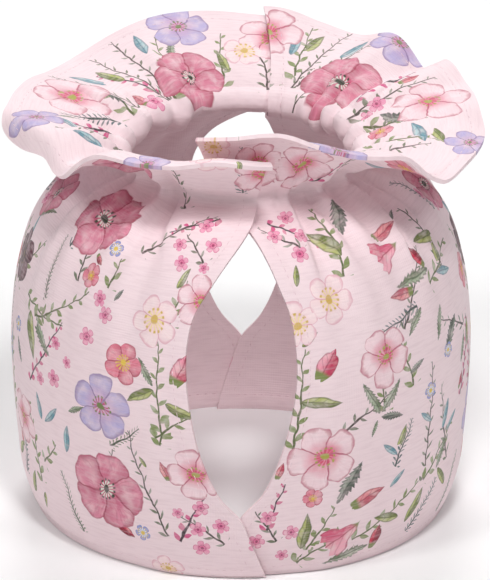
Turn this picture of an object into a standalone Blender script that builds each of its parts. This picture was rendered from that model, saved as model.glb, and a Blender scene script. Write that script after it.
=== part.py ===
"""A tea cosy: two halves of printed cloth, drawn in at the neck, with a frilled collar above it.

The left half laps over the right one at the front and at the back. Between the laps their edges part
into a slit for the spout at the front and one for the handle at the back. Metres, +Z up, the front
at -Y. A bearing is in degrees, 0 at the front and growing towards +X.
"""

import math
from collections import namedtuple

import bmesh
import bpy

MM = 0.001

# Where the axis of the body stands. The rim reaches further to the right and to the back, and this
# puts the centre of the whole outline on the origin.
AXIS_X = -1.1 * MM
AXIS_Y = -2.3 * MM

# The cloth, and the gap that it keeps where one half lies on the other.
THICKNESS = 1.6 * MM
LAP_GAP = 0.5 * MM
LAP_LIFT = (THICKNESS + LAP_GAP) / 2
# Where the halves may lie on each other: the centre and half-width of the front lap and of the back
# one, which each half meets from its own side, and the angle over which the lift fades out.
LAPS = ((-3.5, 16.0), (170.5, 18.0), (-189.5, 18.0))
LAP_FADE = 12.0

# Each half is a grid of columns from its front edge to its back edge, with a few for each gather.
GATHERS = 13
COLUMNS_PER_GATHER = 4
COLUMNS = GATHERS * COLUMNS_PER_GATHER
COLLAR_ROWS = 8
# The step along the rows, to either side, from which the slope of the cloth is read.
ROW_STEP = 0.2
# All that lies lower than this is the bottom edge of the hem, and is made level.
HEM_EDGE = 0.6 * MM
# Where two faces meet at more than this, as along the cut edges, the shading shows a corner.
SHARP_ANGLE = math.radians(50)
# The share of a half, next to each edge, whose columns follow that edge.
EDGE_SHARE = 0.35

# The body from the hem to the neck, one row for each ring of the cloth: its height and radius, how
# deep the gathers are there, and the bearings of the four edges. Heights and depths are in mm.
BodyRow = namedtuple(
    "BodyRow", "height radius gather front_left front_right back_left back_right"
)
BODY = [
    BodyRow(0.0, 75.3, 0.0, 7.0, -7.0, -187.0, 187.0),
    BodyRow(2.0, 75.3, 0.0, 6.5, -6.5, -186.5, 186.5),
    BodyRow(7.5, 78.6, 0.0, 5.0, -5.0, -185.0, 185.0),
    BodyRow(17.0, 81.2, 0.0, 2.5, -2.5, -182.5, 182.5),
    BodyRow(26.5, 82.2, 0.0, 0.0, 0.0, -180.0, 180.0),
    BodyRow(36.0, 83.1, 0.0, -5.4, 5.6, -174.6, 174.6),
    BodyRow(50.0, 84.1, 0.05, -9.5, 9.8, -170.5, 170.5),
    BodyRow(66.0, 84.6, 0.1, -12.1, 12.7, -167.9, 167.9),
    BodyRow(82.0, 83.6, 0.2, -13.6, 14.3, -166.4, 166.4),
    BodyRow(95.0, 81.2, 0.35, -13.8, 14.3, -166.2, 166.2),
    BodyRow(106.0, 78.0, 0.55, -12.3, 13.3, -167.7, 167.7),
    BodyRow(115.0, 73.6, 0.8, -8.4, 11.0, -171.6, 170.0),
    BodyRow(122.0, 68.2, 1.05, -4.2, 8.8, -178.0, 171.0),
    BodyRow(127.4, 61.6, 1.3, 0.4, 6.0, -184.0, 171.5),
    BodyRow(130.8, 55.2, 1.5, 4.0, 2.6, -189.5, 170.0),
    BodyRow(132.8, 49.6, 1.7, 6.0, -1.5, -194.0, 168.0),
    BodyRow(135.2, 46.1, 1.8, 7.0, -4.5, -197.0, 166.5),
    BodyRow(138.6, 45.2, 1.8, 7.6, -7.0, -199.0, 166.0),
]
NECK_ROW = len(BODY) - 1

# The collar from the neck to the rim, by the share of its width.
CollarRow = namedtuple(
    "CollarRow", "share gather front_left front_right back_left back_right"
)
COLLAR = [
    CollarRow(0.0, 1.8, 7.6, -7.0, -199.0, 166.0),
    CollarRow(0.25, 1.5, 8.4, -11.0, -201.0, 167.5),
    CollarRow(0.5, 0.9, 9.2, -14.0, -203.0, 169.5),
    CollarRow(0.75, 0.35, 9.8, -16.0, -205.0, 172.0),
    CollarRow(1.0, 0.1, 10.0, -17.5, -206.0, 174.5),
]
# How steeply the collar leaves the neck, and the shares of its span that it keeps to that slope and,
# at the other end, to the slope of the rim.
NECK_SLOPE = 72.0
NECK_HOLD = 0.2
RIM_HOLD = 0.42

# The waves of the rim, one row for each crest or dip: its bearing, how far it reaches from the axis
# and how high it stands, in mm, and the slope of the last stretch of cloth, which is negative where
# the rim rolls over.
Wave = namedtuple("Wave", "bearing reach rise slope")
LEFT_RIM = [
    Wave(-214, 88.6, 149.4, 10),
    Wave(-206, 88.8, 150.8, 11),
    Wave(-198, 89.0, 152.6, 13),
    Wave(-190, 89.2, 155.0, 15),
    Wave(-181, 89.0, 156.4, 16),
    Wave(-170, 89.0, 158.0, 18),
    Wave(-158, 89.0, 156.8, 15),
    Wave(-148, 89.2, 153.4, 9),
    Wave(-136, 89.2, 148.4, 4),
    Wave(-124, 87.0, 149.0, 10),
    Wave(-112, 86.4, 152.2, 12),
    Wave(-99, 86.8, 152.4, 6),
    Wave(-89, 87.8, 151.4, -14),
    Wave(-79, 84.6, 151.0, -34),
    Wave(-70, 78.0, 150.0, -34),
    Wave(-62, 76.5, 146.6, -12),
    Wave(-53, 75.0, 153.0, 2),
    Wave(-44, 73.6, 159.0, -6),
    Wave(-32, 69.4, 158.0, -12),
    Wave(-20, 66.8, 159.8, -8),
    Wave(-8, 66.2, 162.6, -2),
    Wave(4, 66.6, 161.4, -8),
    Wave(14, 66.8, 160.6, -8),
]
RIGHT_RIM = [
    Wave(-26, 55.2, 163.6, 50),
    Wave(-14, 55.4, 165.4, 52),
    Wave(-2, 56.0, 166.6, 50),
    Wave(9, 57.2, 168.0, 44),
    Wave(18, 60.4, 167.8, 26),
    Wave(26, 67.6, 165.6, 0),
    Wave(34, 72.4, 162.2, -6),
    Wave(42, 77.0, 160.2, -4),
    Wave(49, 80.4, 157.8, -6),
    Wave(56, 82.6, 148.6, -12),
    Wave(62, 85.4, 143.6, -14),
    Wave(70, 87.8, 146.0, 0),
    Wave(80, 89.4, 146.6, -4),
    Wave(90, 90.0, 146.2, -12),
    Wave(98, 88.6, 151.8, 6),
    Wave(110, 89.0, 152.2, 8),
    Wave(120, 88.6, 155.6, 14),
    Wave(128, 88.0, 147.0, 2),
    Wave(139, 88.6, 156.2, 14),
    Wave(150, 88.6, 151.2, 8),
    Wave(160, 88.6, 153.4, 12),
    Wave(170, 88.8, 157.6, 20),
    Wave(182, 88.8, 157.8, 22),
]

# The soft troughs that run down the body from the neck: bearing, depth in mm, half-width in degrees,
# and the height in mm at which they have faded out.
Trough = namedtuple("Trough", "bearing depth half_width bottom")
TROUGHS = [
    Trough(-146, 1.4, 9, 62),
    Trough(-112, 1.2, 8, 74),
    Trough(-74, 1.3, 9, 66),
    Trough(-46, 1.1, 7, 84),
    Trough(-29, 1.6, 8, 58),
    Trough(27, 1.5, 6, 66),
    Trough(47, 1.5, 7, 60),
    Trough(71, 1.2, 9, 78),
    Trough(104, 1.3, 8, 64),
    Trough(141, 1.4, 10, 70),
]
TROUGH_TOP = 128.0

# The two halves: the columns that hold their edges, the bearing of the back seen from their side,
# their rim, whether they lie outside (1) or inside (-1) at the laps, and their linear colour.
Half = namedtuple("Half", "name front_edge back_edge back rim side colour")
LEFT = Half("panel_left", "front_left", "back_left", -180.0, LEFT_RIM, 1, (0.80, 0.62, 0.66, 1))
RIGHT = Half("panel_right", "front_right", "back_right", 180.0, RIGHT_RIM, -1, (0.76, 0.60, 0.64, 1))


def ease(share):
    """0 to 1 with level ends, for a share that may lie outside them."""
    share = min(max(share, 0.0), 1.0)
    return share * share * (3 - 2 * share)


def slope_at(keys, values, i):
    """The slope of a smooth curve through the values, at one of them."""
    before, after = max(i - 1, 0), min(i + 1, len(keys) - 1)
    return (values[after] - values[before]) / (keys[after] - keys[before])


def read_table(rows, keys, at):
    """A row of the table at a key, on smooth curves through its columns."""
    at = min(max(at, keys[0]), keys[-1])
    i = max(k for k in range(len(keys) - 1) if keys[k] <= at)
    step = keys[i + 1] - keys[i]
    t = (at - keys[i]) / step
    found = []
    for values in zip(*rows):
        start, end = values[i], values[i + 1]
        rise_0 = slope_at(keys, values, i) * step
        rise_1 = slope_at(keys, values, i + 1) * step
        found.append(
            start
            + rise_0 * t
            + (3 * (end - start) - 2 * rise_0 - rise_1) * t**2
            + (2 * (start - end) + rise_0 + rise_1) * t**3
        )
    return type(rows[0])(*found)


def cubic(ends, t):
    """A point of the curve with these four control points."""
    weights = ((1 - t) ** 3, 3 * t * (1 - t) ** 2, 3 * t**2 * (1 - t), t**3)
    return [sum(w * point[axis] for w, point in zip(weights, ends)) for axis in (0, 1)]


def meridian(half, bearing, row):
    """Radius and height in mm of the middle of the cloth, before gathers and laps."""
    if row <= NECK_ROW:
        ring = read_table(BODY, range(len(BODY)), row)
        return ring.radius, ring.height
    neck = BODY[NECK_ROW]
    rim = read_table(half.rim, [wave.bearing for wave in half.rim], bearing)
    span = math.hypot(rim.reach - neck.radius, rim.rise - neck.height)
    neck_hold, rim_hold = NECK_HOLD * span, RIM_HOLD * span
    neck_slope, rim_slope = math.radians(NECK_SLOPE), math.radians(rim.slope)
    ends = (
        (neck.radius, neck.height),
        (neck.radius + neck_hold * math.cos(neck_slope), neck.height + neck_hold * math.sin(neck_slope)),
        (rim.reach - rim_hold * math.cos(rim_slope), rim.rise - rim_hold * math.sin(rim_slope)),
        (rim.reach, rim.rise),
    )
    return cubic(ends, (row - NECK_ROW) / COLLAR_ROWS)


def outward(half, bearing, row):
    """The direction square to the cloth, in radius and height, on its outer side."""
    last = NECK_ROW + COLLAR_ROWS
    below = meridian(half, bearing, max(row - ROW_STEP, 0))
    above = meridian(half, bearing, min(row + ROW_STEP, last))
    across, up = above[0] - below[0], above[1] - below[1]
    length = math.hypot(across, up)
    return up / length, -across / length


def edges_and_gather(half, row):
    """The bearings of the half's front and back edge, and the depth of its gathers, at a row."""
    if row <= NECK_ROW:
        ring = read_table(BODY, range(len(BODY)), row)
    else:
        share = (row - NECK_ROW) / COLLAR_ROWS
        ring = read_table(COLLAR, [line.share for line in COLLAR], share)
    return getattr(ring, half.front_edge), getattr(ring, half.back_edge), ring.gather


def gather_wave(share):
    """-1 to 1 across a half: gathers of uneven width and depth."""
    phase = GATHERS * share + 0.16 * math.sin(15.1 * share + 0.6) + 0.1 * math.sin(33.0 * share)
    depth = 0.78 + 0.22 * math.sin(21.0 * share + 1.9)
    return depth * math.cos(2 * math.pi * phase)


def lap(bearing):
    """1 where the halves lie on each other, 0 well away from there."""
    beyond = min(abs(bearing - centre) - half_width for centre, half_width in LAPS)
    return 1 - ease(beyond / LAP_FADE)


def trough_depth(bearing, height):
    """How far the soft troughs of the body pull the cloth in, in mm."""
    depth = 0.0
    for trough in TROUGHS:
        across = max(0.0, 1 - abs(bearing - trough.bearing) / trough.half_width)
        down = ease((height - trough.bottom) / (TROUGH_TOP - trough.bottom))
        depth += trough.depth * ease(across) * down
    return depth


def cloth_point(half, share, row):
    """A point on the outer face of the cloth: share runs from the front edge to the back edge."""
    front_edge, back_edge, gather = edges_and_gather(half, row)
    bearing = half.back * share
    bearing += front_edge * (1 - ease(share / EDGE_SHARE))
    bearing += (back_edge - half.back) * (1 - ease((1 - share) / EDGE_SHARE))
    radius, height = meridian(half, bearing, row)
    lapped = lap(bearing)
    folds = gather * gather_wave(share)
    if row <= NECK_ROW:
        folds -= trough_depth(bearing, height)
    lift = (THICKNESS / 2 + half.side * lapped * LAP_LIFT) / MM + folds * (1 - lapped)
    out_r, out_z = outward(half, bearing, row)
    radius += lift * out_r
    height += lift * out_z
    angle = math.radians(bearing)
    return (
        AXIS_X + radius * math.sin(angle) * MM,
        AXIS_Y - radius * math.cos(angle) * MM,
        height * MM,
    )


def printed_cloth(name, colour):
    """Matte woven cloth in the ground colour of the print."""
    material = bpy.data.materials.new(name)
    material.use_nodes = True
    shader = material.node_tree.nodes["Principled BSDF"]
    shader.inputs["Base Color"].default_value = colour
    shader.inputs["Roughness"].default_value = 0.75
    shader.inputs["Metallic"].default_value = 0.0
    return material


def half_of_cosy(half):
    """One cut of cloth as a thin closed solid, whose hem is level on the table."""
    rows = NECK_ROW + COLLAR_ROWS
    shape = bmesh.new()
    bmesh.ops.create_grid(shape, x_segments=COLUMNS, y_segments=rows, size=0.5)
    for point in shape.verts:
        share, row = point.co.x + 0.5, round((point.co.y + 0.5) * rows)
        point.co = cloth_point(half, share, row)
    if half.back < 0:
        bmesh.ops.reverse_faces(shape, faces=shape.faces)
    shape.normal_update()
    bmesh.ops.solidify(shape, geom=shape.faces, thickness=THICKNESS)
    for point in shape.verts:
        if point.co.z < HEM_EDGE:
            point.co.z = 0.0
    mesh = bpy.data.meshes.new(half.name)
    shape.to_mesh(mesh)
    shape.free()
    mesh.shade_smooth()
    mesh.set_sharp_from_angle(angle=SHARP_ANGLE)
    mesh.materials.append(printed_cloth(half.name + "_cloth", half.colour))
    part = bpy.data.objects.new(half.name, mesh)
    bpy.context.scene.collection.objects.link(part)
    return part


for old in list(bpy.data.objects):
    bpy.data.objects.remove(old)

half_of_cosy(LEFT)
half_of_cosy(RIGHT)
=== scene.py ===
import math
from collections import namedtuple
from functools import partial

import bmesh
import bpy
from mathutils import Matrix, Vector


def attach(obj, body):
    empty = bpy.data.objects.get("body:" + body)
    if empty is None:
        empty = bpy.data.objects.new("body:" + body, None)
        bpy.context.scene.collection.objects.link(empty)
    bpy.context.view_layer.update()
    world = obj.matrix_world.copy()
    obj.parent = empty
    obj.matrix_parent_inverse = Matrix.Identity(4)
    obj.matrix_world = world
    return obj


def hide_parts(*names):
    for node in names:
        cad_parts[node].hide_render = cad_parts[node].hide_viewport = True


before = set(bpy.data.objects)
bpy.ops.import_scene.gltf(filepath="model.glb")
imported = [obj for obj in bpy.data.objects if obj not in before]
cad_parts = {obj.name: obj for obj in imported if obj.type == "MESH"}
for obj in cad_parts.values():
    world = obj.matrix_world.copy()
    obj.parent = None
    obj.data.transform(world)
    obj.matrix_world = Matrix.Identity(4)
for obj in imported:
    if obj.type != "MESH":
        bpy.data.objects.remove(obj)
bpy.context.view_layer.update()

# The cosy. Two halves of light canvas, printed on one side with a flower pattern on pale pink, lie on
# each other at the front and at the back. Each is one length of cloth from the hem up to the rim of
# the collar, drawn in at the neck, and its edges are turned once and stitched down.

MM = 0.001

# Where the axis of the body stands, and the cloth with the gap that it keeps at the laps.
AXIS_X = -1.1 * MM
AXIS_Y = -2.3 * MM
THICKNESS = 1.6 * MM
LAP_GAP = 0.5 * MM
LAP_LIFT = (THICKNESS + LAP_GAP) / 2
LAPS = ((-3.5, 16.0), (170.5, 18.0), (-189.5, 18.0))
LAP_FADE = 12.0
EDGE_SHARE = 0.35

# The mesh of a half: its columns from the front edge to the back edge, and its rows up the body and
# up the collar, which makes squares of a little over 1 mm.
COLUMNS = 226
BODY_LINES = 138
COLLAR_LINES = 40
HEM_EDGE = 0.55 * MM
ROW_STEP = 0.2

BodyRow = namedtuple(
    "BodyRow", "height radius gather front_left front_right back_left back_right"
)
BODY = [
    BodyRow(0.0, 75.3, 0.0, 7.0, -7.0, -187.0, 187.0),
    BodyRow(2.0, 75.3, 0.0, 6.5, -6.5, -186.5, 186.5),
    BodyRow(7.5, 78.6, 0.0, 5.0, -5.0, -185.0, 185.0),
    BodyRow(17.0, 81.2, 0.0, 2.5, -2.5, -182.5, 182.5),
    BodyRow(26.5, 82.2, 0.0, 0.0, 0.0, -180.0, 180.0),
    BodyRow(36.0, 83.1, 0.0, -5.4, 5.6, -174.6, 174.6),
    BodyRow(50.0, 84.1, 0.05, -9.5, 9.8, -170.5, 170.5),
    BodyRow(66.0, 84.6, 0.1, -12.1, 12.7, -167.9, 167.9),
    BodyRow(82.0, 83.6, 0.2, -13.6, 14.3, -166.4, 166.4),
    BodyRow(95.0, 81.2, 0.35, -13.8, 14.3, -166.2, 166.2),
    BodyRow(106.0, 78.0, 0.55, -12.3, 13.3, -167.7, 167.7),
    BodyRow(115.0, 73.6, 0.8, -8.4, 11.0, -171.6, 170.0),
    BodyRow(122.0, 68.2, 1.05, -4.2, 8.8, -178.0, 171.0),
    BodyRow(127.4, 61.6, 1.3, 0.4, 6.0, -184.0, 171.5),
    BodyRow(130.8, 55.2, 1.5, 4.0, 2.6, -189.5, 170.0),
    BodyRow(132.8, 49.6, 1.7, 6.0, -1.5, -194.0, 168.0),
    BodyRow(135.2, 46.1, 1.8, 7.0, -4.5, -197.0, 166.5),
    BodyRow(138.6, 45.2, 1.8, 7.6, -7.0, -199.0, 166.0),
]
NECK_ROW = len(BODY) - 1
COLLAR_ROWS = 8

CollarRow = namedtuple(
    "CollarRow", "share gather front_left front_right back_left back_right"
)
COLLAR = [
    CollarRow(0.0, 1.8, 7.6, -7.0, -199.0, 166.0),
    CollarRow(0.25, 1.5, 8.4, -11.0, -201.0, 167.5),
    CollarRow(0.5, 0.9, 9.2, -14.0, -203.0, 169.5),
    CollarRow(0.75, 0.35, 9.8, -16.0, -205.0, 172.0),
    CollarRow(1.0, 0.1, 10.0, -17.5, -206.0, 174.5),
]
NECK_SLOPE = 72.0
NECK_HOLD = 0.2
RIM_HOLD = 0.42

# The waves of the rim: bearing, reach and rise in mm, and the slope of the last stretch of cloth.
Wave = namedtuple("Wave", "bearing reach rise slope")
LEFT_RIM = [Wave(*row) for row in (
    (-214, 88.6, 149.4, 10), (-206, 88.8, 150.8, 11),
    (-198, 89.0, 152.6, 13), (-190, 89.2, 155.0, 15),
    (-181, 89.0, 156.4, 16), (-170, 89.0, 158.0, 18),
    (-158, 89.0, 156.8, 15), (-148, 89.2, 153.4, 9),
    (-136, 89.2, 148.4, 4), (-124, 87.0, 149.0, 10),
    (-112, 86.4, 152.2, 12), (-99, 86.8, 152.4, 6),
    (-89, 87.8, 151.4, -14), (-79, 84.6, 151.0, -34),
    (-70, 78.0, 150.0, -34), (-62, 76.5, 146.6, -12),
    (-53, 75.0, 153.0, 2), (-44, 73.6, 159.0, -6),
    (-32, 69.4, 158.0, -12), (-20, 66.8, 159.8, -8),
    (-8, 66.2, 162.6, -2), (4, 66.6, 161.4, -8),
    (14, 66.8, 160.6, -8),
)]
RIGHT_RIM = [Wave(*row) for row in (
    (-26, 55.2, 163.6, 50), (-14, 55.4, 165.4, 52),
    (-2, 56.0, 166.6, 50), (9, 57.2, 168.0, 44),
    (18, 60.4, 167.8, 26), (26, 67.6, 165.6, 0),
    (34, 72.4, 162.2, -6), (42, 77.0, 160.2, -4),
    (49, 80.4, 157.8, -6), (56, 82.6, 148.6, -12),
    (62, 85.4, 143.6, -14), (70, 87.8, 146.0, 0),
    (80, 89.4, 146.6, -4), (90, 90.0, 146.2, -12),
    (98, 88.6, 151.8, 6), (110, 89.0, 152.2, 8),
    (120, 88.6, 155.6, 14), (128, 88.0, 147.0, 2),
    (139, 88.6, 156.2, 14), (150, 88.6, 151.2, 8),
    (160, 88.6, 153.4, 12), (170, 88.8, 157.6, 20),
    (182, 88.8, 157.8, 22),
)]

# The soft troughs down the body: bearing, depth in mm, half-width in degrees, height where they end.
Trough = namedtuple("Trough", "bearing depth half_width bottom")
TROUGHS = [
    Trough(-146, 1.4, 9, 62),
    Trough(-112, 1.2, 8, 74),
    Trough(-74, 1.3, 9, 66),
    Trough(-46, 1.1, 7, 84),
    Trough(-29, 1.6, 8, 58),
    Trough(27, 1.5, 6, 66),
    Trough(47, 1.5, 7, 60),
    Trough(71, 1.2, 9, 78),
    Trough(104, 1.3, 8, 64),
    Trough(141, 1.4, 10, 70),
]
TROUGH_TOP = 128.0

# The sharper creases that the gathering leaves. Each runs from near the neck to where it fades out:
# its bearing and its place up the cloth at both ends, its depth and half its width, in degrees and
# mm. Past its upper end it runs out over a share of its length. It is only looked for within its
# reach, in degrees, and so are the pleats.
Crease = namedtuple("Crease", "bearing up far_bearing far_up depth half_width")
CREASE_RUN_OUT = 0.2
CREASE_REACH = 14
CREASES = [Crease(*row) for row in (
    (-172, 152, -170, 128, 0.8, 2.6), (-158, 153, -157, 118, 0.9, 2.8),
    (-139, 152, -141, 122, 0.7, 2.4), (-127, 153, -124, 112, 0.9, 3.0),
    (-104, 152, -103, 120, 0.8, 2.6), (-93, 153, -95, 106, 0.9, 3.0),
    (-82, 152, -80, 124, 0.7, 2.4), (-62, 153, -60, 110, 1.0, 2.8),
    (-54, 151, -51, 128, 0.7, 2.2), (-38, 153, -35, 116, 1.1, 2.6),
    (-22, 153, -21, 122, 1.0, 2.4), (17, 156, 25, 118, 1.2, 2.4),
    (36, 153, 37, 112, 1.1, 2.8), (56, 153, 57, 118, 0.9, 2.6),
    (63, 151, 63, 130, 0.7, 2.2), (82, 153, 84, 108, 0.9, 3.0),
    (95, 152, 94, 124, 0.7, 2.4), (117, 153, 119, 114, 0.9, 2.8),
    (130, 152, 128, 122, 0.8, 2.6), (153, 153, 155, 116, 0.9, 2.8),
    (-165, 159, -166, 184, 1.1, 2.4), (-151, 159, -149, 190, 1.2, 2.8),
    (-133, 159, -131, 182, 1.1, 2.4), (-120, 159, -118, 192, 1.2, 2.8),
    (-100, 159, -101, 184, 1.1, 2.4), (-86, 159, -87, 190, 1.2, 2.6),
    (-66, 159, -67, 184, 1.1, 2.6), (-49, 159, -47, 186, 1.0, 2.6),
    (-33, 159, -31, 182, 0.9, 2.4), (-17, 159, -15, 184, 0.9, 2.4),
    (25, 159, 27, 184, 0.9, 2.4), (44, 159, 46, 188, 1.0, 2.6),
    (61, 159, 62, 184, 1.1, 2.6), (77, 159, 76, 190, 1.2, 2.6),
    (93, 159, 92, 186, 1.1, 2.4), (107, 159, 106, 192, 1.2, 2.8),
    (124, 159, 125, 186, 1.1, 2.4), (133, 159, 134, 192, 1.2, 2.6),
    (146, 159, 145, 184, 1.1, 2.4), (157, 159, 156, 190, 1.2, 2.6),
)]

# The flat pleats: a sharp edge from one place to another, in degrees and mm up the cloth. Beside it
# the cloth is sunk by the depth and comes back level over the width, to the left if that is negative.
# The sharp edge itself takes up a little width too.
Pleat = namedtuple("Pleat", "bearing up far_bearing far_up depth width")
PLEATS = [
    Pleat(-33, 156, -23.5, 121, 2.4, -15),
    Pleat(24.5, 158, 23, 114, 2.2, 10),
    Pleat(60, 152, 56, 110, 2.4, 14),
    Pleat(-79, 152, -66, 113, 2.2, -13),
    Pleat(-112, 154, -118, 116, 2.0, -14),
    Pleat(-151, 155, -146, 112, 2.2, 14),
    Pleat(98, 153, 104, 114, 2.0, 13),
    Pleat(146, 155, 139, 112, 2.2, -14),
    Pleat(-116, 166, -121, 196, 1.6, -12),
    Pleat(-78, 164, -74, 190, 1.6, 11),
    Pleat(118, 166, 124, 195, 1.6, 12),
    Pleat(84, 164, 80, 192, 1.5, -11),
    Pleat(150, 168, 156, 198, 1.4, -11),
    Pleat(-150, 168, -154, 198, 1.4, 11),
]
PLEAT_EDGE = 1.4
PLEAT_RUN_OUT = 0.1
PLEAT_REACH = 35

# The left tip of the collar, which is bent down outside this line, by this depth over this width. It
# goes on past both ends of the line by a share of its length, and there it fades.
FLAP = Pleat(-91, 200, -60, 186, 5.5, 8)
FLAP_LIMIT = 1.2
FLAP_RUN_OUT = 0.25
FLAP_FADE = 0.3

# The tuck round the neck, where the cloth is drawn in tight: its depth and half its width in mm.
TUCK = 2.6
TUCK_HALF_WIDTH = 6.5

# The turned edges: how wide the turning is, how far it stands proud, and how far in the stitch line
# runs, which draws a small groove.
TURNING = 6.0
TURNING_RISE = 0.35
STITCH_INSET = 4.9
GROOVE = 0.3
GROOVE_HALF_WIDTH = 1.0
EDGE_ROUNDING = 0.45 * MM

Half = namedtuple("Half", "name front_edge back_edge back rim side")
LEFT = Half("left_half", "front_left", "back_left", -180.0, LEFT_RIM, 1)
RIGHT = Half("right_half", "front_right", "back_right", 180.0, RIGHT_RIM, -1)


def ease(share):
    """0 to 1 with level ends, for a share that may lie outside them."""
    share = min(max(share, 0.0), 1.0)
    return share * share * (3 - 2 * share)


def slope_at(keys, values, i):
    """The slope of a smooth curve through the values, at one of them."""
    before, after = max(i - 1, 0), min(i + 1, len(keys) - 1)
    return (values[after] - values[before]) / (keys[after] - keys[before])


def read_table(rows, keys, at):
    """A row of the table at a key, on smooth curves through its columns."""
    at = min(max(at, keys[0]), keys[-1])
    i = max(k for k in range(len(keys) - 1) if keys[k] <= at)
    step = keys[i + 1] - keys[i]
    t = (at - keys[i]) / step
    found = []
    for values in zip(*rows):
        start, end = values[i], values[i + 1]
        rise_0 = slope_at(keys, values, i) * step
        rise_1 = slope_at(keys, values, i + 1) * step
        found.append(
            start
            + rise_0 * t
            + (3 * (end - start) - 2 * rise_0 - rise_1) * t**2
            + (2 * (start - end) + rise_0 + rise_1) * t**3
        )
    return type(rows[0])(*found)


def cubic(ends, t):
    """A point of the curve with these four control points."""
    weights = ((1 - t) ** 3, 3 * t * (1 - t) ** 2, 3 * t**2 * (1 - t), t**3)
    return [sum(w * point[axis] for w, point in zip(weights, ends)) for axis in (0, 1)]


def collar_curve(half, bearing):
    """The four control points of the collar from the neck to the rim, as radius and height in mm."""
    neck = BODY[NECK_ROW]
    rim = read_table(half.rim, [wave.bearing for wave in half.rim], bearing)
    span = math.hypot(rim.reach - neck.radius, rim.rise - neck.height)
    neck_hold, rim_hold = NECK_HOLD * span, RIM_HOLD * span
    neck_slope, rim_slope = math.radians(NECK_SLOPE), math.radians(rim.slope)
    return (
        (neck.radius, neck.height),
        (neck.radius + neck_hold * math.cos(neck_slope), neck.height + neck_hold * math.sin(neck_slope)),
        (rim.reach - rim_hold * math.cos(rim_slope), rim.rise - rim_hold * math.sin(rim_slope)),
        (rim.reach, rim.rise),
    )


def meridian(curve, row):
    """Radius and height in mm of the middle of the cloth, before gathers and laps."""
    if row <= NECK_ROW:
        ring = read_table(BODY, range(len(BODY)), row)
        return ring.radius, ring.height
    return cubic(curve, (row - NECK_ROW) / COLLAR_ROWS)


def ring_at(row):
    """The edges and the depth of the gathers at a row of the body or of the collar."""
    if row <= NECK_ROW:
        return read_table(BODY, range(len(BODY)), row)
    share = (row - NECK_ROW) / COLLAR_ROWS
    return read_table(COLLAR, [line.share for line in COLLAR], share)


STEPS_A_ROW = 40


def even_rows():
    """The rows of the mesh, at even steps along the cloth of the body, then of the collar."""
    steps = STEPS_A_ROW * NECK_ROW
    places = [meridian(None, NECK_ROW * i / steps) for i in range(steps + 1)]
    lengths = [0.0]
    for a, b in zip(places, places[1:]):
        lengths.append(lengths[-1] + math.dist(a, b))
    rows = []
    for line in range(BODY_LINES):
        aim = lengths[-1] * line / BODY_LINES
        i = max(k for k in range(steps) if lengths[k] <= aim)
        rows.append(NECK_ROW * (i + (aim - lengths[i]) / (lengths[i + 1] - lengths[i])) / steps)
    for line in range(COLLAR_LINES + 1):
        rows.append(NECK_ROW + COLLAR_ROWS * line / COLLAR_LINES)
    return rows


# The gathers of a half: how many, two swings that shift them along, and one that varies their depth.
Swing = namedtuple("Swing", "reach pace start")
GATHERS = 13
GATHER_SHIFTS = (Swing(0.16, 15.1, 0.6), Swing(0.1, 33.0, 0.0))
GATHER_DEPTH = 0.78
DEPTH_SWING = Swing(0.22, 21.0, 1.9)


def swing_at(swing, share):
    return swing.reach * math.sin(swing.pace * share + swing.start)


def gather_wave(share):
    """-1 to 1 across a half: gathers of uneven width and depth."""
    phase = sum((swing_at(swing, share) for swing in GATHER_SHIFTS), GATHERS * share)
    return (GATHER_DEPTH + swing_at(DEPTH_SWING, share)) * math.cos(2 * math.pi * phase)


def lap(bearing):
    """1 where the halves lie on each other, 0 well away from there."""
    beyond = min(abs(bearing - centre) - half_width for centre, half_width in LAPS)
    return 1 - ease(beyond / LAP_FADE)


def trough_depth(bearing, height):
    """How far the soft troughs of the body pull the cloth in, in mm."""
    depth = 0.0
    for trough in TROUGHS:
        across = max(0.0, 1 - abs(bearing - trough.bearing) / trough.half_width)
        down = ease((height - trough.bottom) / (TROUGH_TOP - trough.bottom))
        depth += trough.depth * ease(across) * down
    return depth


def crease_depth(bearing, up, radius):
    """How far the creases pull the cloth in, in mm."""
    depth = 0.0
    for crease in CREASES:
        if abs(bearing - crease.bearing) > CREASE_REACH:
            continue
        along = (up - crease.up) / (crease.far_up - crease.up)
        if not -CREASE_RUN_OUT < along < 1:
            continue
        line = crease.bearing + (crease.far_bearing - crease.bearing) * along
        across = abs(math.radians(bearing - line)) * radius / crease.half_width
        fade = ease(1 - along) * ease((along + CREASE_RUN_OUT) / CREASE_RUN_OUT)
        depth += crease.depth * ease(1 - across) * fade
    return depth


def beside_fold(fold, bearing, up, degree):
    """Where a place lies by a fold: its share of the way along, and the mm that it lies beyond."""
    run = ((fold.far_bearing - fold.bearing) * degree, fold.far_up - fold.up)
    out = ((bearing - fold.bearing) * degree, up - fold.up)
    length = math.hypot(*run)
    along = (out[0] * run[0] + out[1] * run[1]) / length**2
    return along, (run[0] * out[1] - run[1] * out[0]) / length


def pleat_depth(bearing, up, radius):
    """How far the flat pleats sink the cloth, in mm."""
    degree = math.radians(1) * radius
    depth = 0.0
    for pleat in PLEATS:
        if abs(bearing - pleat.bearing) > PLEAT_REACH:
            continue
        along, _ = beside_fold(pleat, bearing, up, degree)
        if not -PLEAT_RUN_OUT < along < 1:
            continue
        line = pleat.bearing + (pleat.far_bearing - pleat.bearing) * along
        beside = (bearing - line) * degree * math.copysign(1, pleat.width)
        step = ease((beside + PLEAT_EDGE / 2) / PLEAT_EDGE)
        back = max(0.0, 1 - max(beside, 0.0) / abs(pleat.width))
        fade = ease((along + PLEAT_RUN_OUT) / (2 * PLEAT_RUN_OUT))
        depth += pleat.depth * step * back * ease(2 * (1 - along)) * fade
    return depth


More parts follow.
